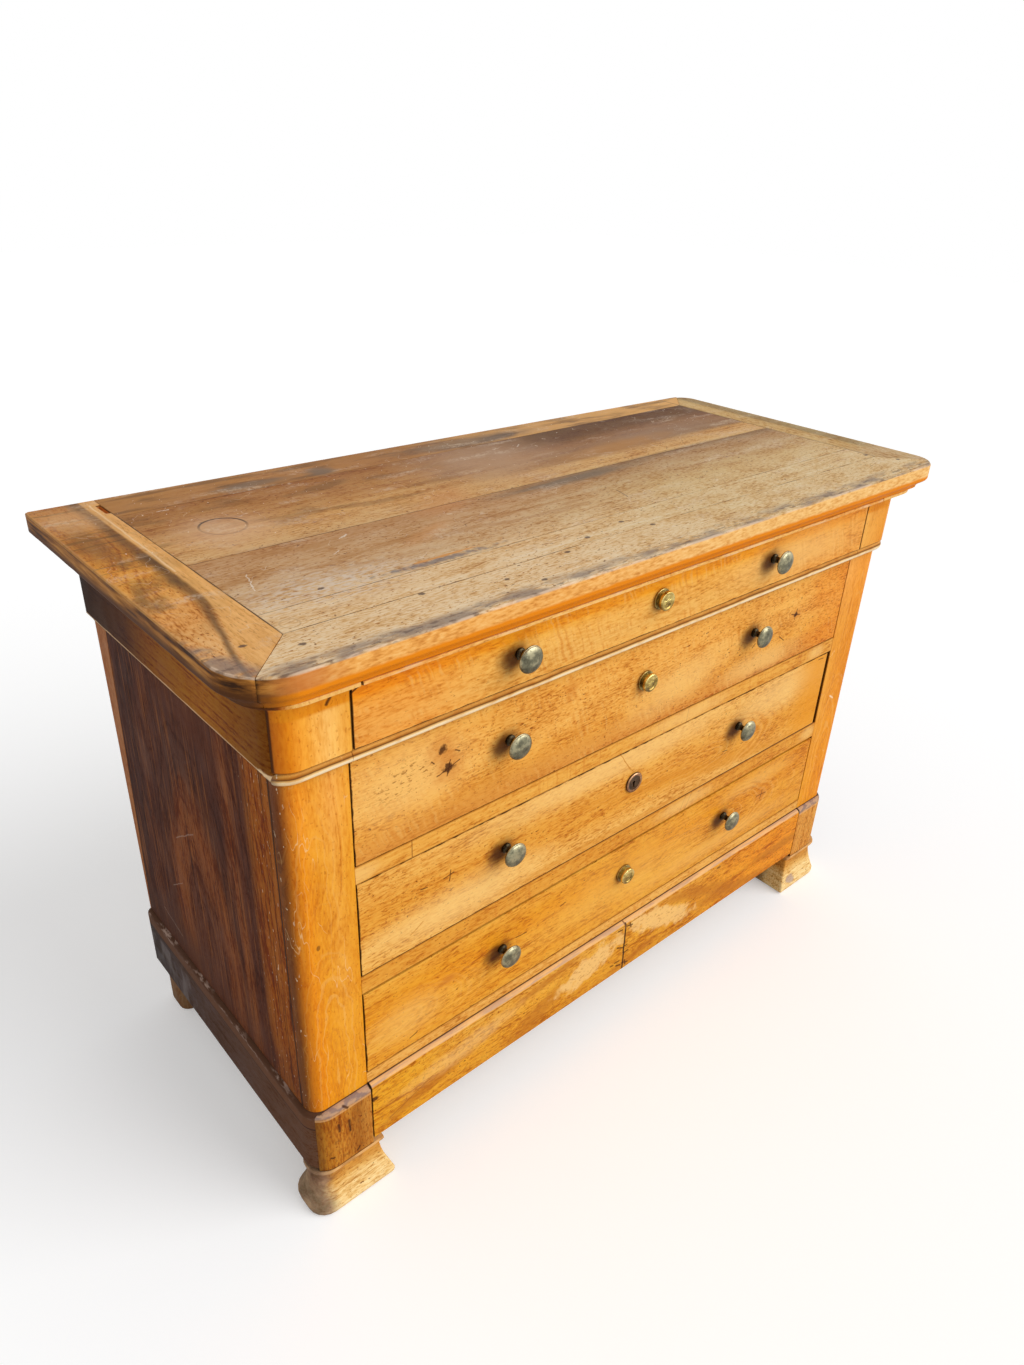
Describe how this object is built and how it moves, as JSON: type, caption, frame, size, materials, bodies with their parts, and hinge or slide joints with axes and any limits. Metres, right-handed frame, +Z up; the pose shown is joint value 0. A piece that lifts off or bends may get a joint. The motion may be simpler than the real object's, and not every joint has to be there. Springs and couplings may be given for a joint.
{
  "type": "commode",
  "caption": "Walnut commode: framed overhanging top, moulded frieze drawer, deep drawers with round knobs, a hidden drawer in the plinth, and moulded front feet.",
  "frame": {"origin": "middle of the footprint of the top, on the floor", "axes": "+X along the front to the viewer's right, +Y to the back, +Z up"},
  "size_m": [1.25, 0.581, 0.862],
  "materials": {
    "walnut_top": "worn wax, hazy",
    "walnut_front": "polished, warm orange brown",
    "walnut_side": "polished, dark brown",
    "walnut_foot": "worn, pale",
    "oak_inside": "bare",
    "poplar_back": "bare, dusty",
    "aged_brass": "aged, greenish"
  },
  "bodies": {
    "carcase": {"top_left_end": "walnut_top", "top_right_end": "walnut_top", "top_front_rail": "walnut_top", "top_back_rail": "walnut_top", "top_board_front": "walnut_top", "top_board_middle": "walnut_top", "top_board_back": "walnut_top", "frieze_block_left": "walnut_front", "frieze_block_right": "walnut_front", "frieze_side_left": "walnut_side", "frieze_side_right": "walnut_side", "front_stile_left": "walnut_front", "front_stile_right": "walnut_front", "back_stile_left": "walnut_side", "back_stile_right": "walnut_side", "side_panel_left": "walnut_side", "side_panel_right": "walnut_side", "shelf_1": "walnut_front", "shelf_2": "walnut_front", "shelf_3": "walnut_front", "shelf_4": "walnut_front", "back_panel": "poplar_back", "back_top_rail": "poplar_back", "plinth_block_left": "walnut_front", "plinth_block_right": "walnut_front", "plinth_side_left": "walnut_side", "plinth_side_right": "walnut_side", "plinth_runner_left": "oak_inside", "plinth_runner_right": "oak_inside", "foot_front_left": "walnut_foot", "foot_front_right": "walnut_foot", "foot_back_left": "poplar_back", "foot_back_right": "poplar_back"},
    "drawer_1": {"drawer_1_front": "walnut_front", "drawer_1_box": "oak_inside", "drawer_1_bottom": "oak_inside", "knob_1_left": "aged_brass", "knob_1_right": "aged_brass", "escutcheon_1": "aged_brass"},
    "drawer_2": {"drawer_2_front": "walnut_front", "drawer_2_box": "oak_inside", "drawer_2_bottom": "oak_inside", "knob_2_left": "aged_brass", "knob_2_right": "aged_brass", "escutcheon_2": "aged_brass"},
    "drawer_3": {"drawer_3_front": "walnut_front", "drawer_3_box": "oak_inside", "drawer_3_bottom": "oak_inside", "knob_3_left": "aged_brass", "knob_3_right": "aged_brass", "escutcheon_3": "aged_brass"},
    "drawer_4": {"drawer_4_front": "walnut_front", "drawer_4_box": "oak_inside", "drawer_4_bottom": "oak_inside", "knob_4_left": "aged_brass", "knob_4_right": "aged_brass", "escutcheon_4": "aged_brass"},
    "plinth_drawer": {"plinth_drawer_front": "walnut_front", "plinth_drawer_box": "oak_inside", "plinth_drawer_bottom": "oak_inside"}
  },
  "joints": [
    {"name": "drawer_1_slide", "type": "slide", "parent": "carcase", "child": "drawer_1", "axis": [0, -1, 0], "range_m": [0, 0.36]},
    {"name": "drawer_2_slide", "type": "slide", "parent": "carcase", "child": "drawer_2", "axis": [0, -1, 0], "range_m": [0, 0.36]},
    {"name": "drawer_3_slide", "type": "slide", "parent": "carcase", "child": "drawer_3", "axis": [0, -1, 0], "range_m": [0, 0.36]},
    {"name": "drawer_4_slide", "type": "slide", "parent": "carcase", "child": "drawer_4", "axis": [0, -1, 0], "range_m": [0, 0.36]},
    {"name": "plinth_drawer_slide", "type": "slide", "parent": "carcase", "child": "plinth_drawer", "axis": [0, -1, 0], "range_m": [0, 0.36]}
  ]
}
